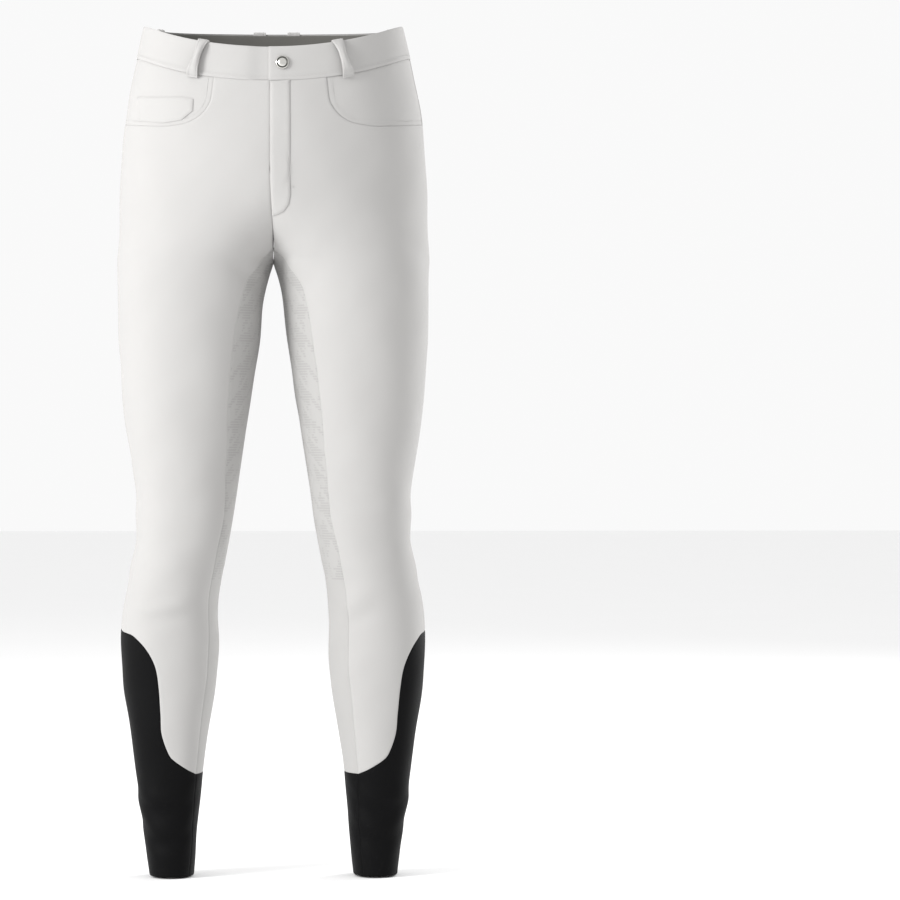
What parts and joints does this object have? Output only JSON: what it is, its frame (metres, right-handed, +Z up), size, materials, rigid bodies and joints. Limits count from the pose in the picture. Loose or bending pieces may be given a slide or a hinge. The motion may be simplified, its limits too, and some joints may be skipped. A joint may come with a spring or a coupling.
{
  "type": "riding breeches",
  "caption": "Slim riding breeches with a full checked seat, dark stretch lower legs, scooped front pockets, flapped back pockets, belt loops and a buttoned waistband.",
  "frame": {"origin": "the middle of the waist opening, level with the middle of the waistband at the sides", "axes": "+Z up, the wearer faces -Y, the wearer's left is +X"},
  "size_m": [0.3724, 0.2459, 1.02],
  "materials": {
    "pale_cloth": "matt stretch twill, pale warm grey",
    "check_cloth": "matt grey cloth with a tonal broken check of grip dashes",
    "dark_cloth": "smooth black stretch jersey",
    "lining_cloth": "matt dark grey twill tape",
    "metal": "satin nickel with a dark rim"
  },
  "bodies": {
    "root": {"front_left": "pale_cloth", "yoke_left": "pale_cloth", "side_back_left": "pale_cloth", "pocket_facing_left": "pale_cloth", "back_pocket_left": "pale_cloth", "pocket_flap_left": "pale_cloth", "seat_left": "check_cloth", "sock_outer_left": "dark_cloth", "sock_back_left": "dark_cloth", "flap_snap_left": "metal", "belt_loop_front_left": "pale_cloth", "belt_loop_side_left": "pale_cloth", "belt_loop_back_left": "pale_cloth", "front_right": "pale_cloth", "yoke_right": "pale_cloth", "side_back_right": "pale_cloth", "pocket_facing_right": "pale_cloth", "back_pocket_right": "pale_cloth", "pocket_flap_right": "pale_cloth", "seat_right": "check_cloth", "sock_outer_right": "dark_cloth", "sock_back_right": "dark_cloth", "flap_snap_right": "metal", "belt_loop_front_right": "pale_cloth", "belt_loop_side_right": "pale_cloth", "belt_loop_back_right": "pale_cloth", "waistband": "pale_cloth", "waistband_lining": "lining_cloth", "fly_placket": "pale_cloth", "coin_pocket": "pale_cloth", "waist_button": "metal"}
  },
  "joints": []
}
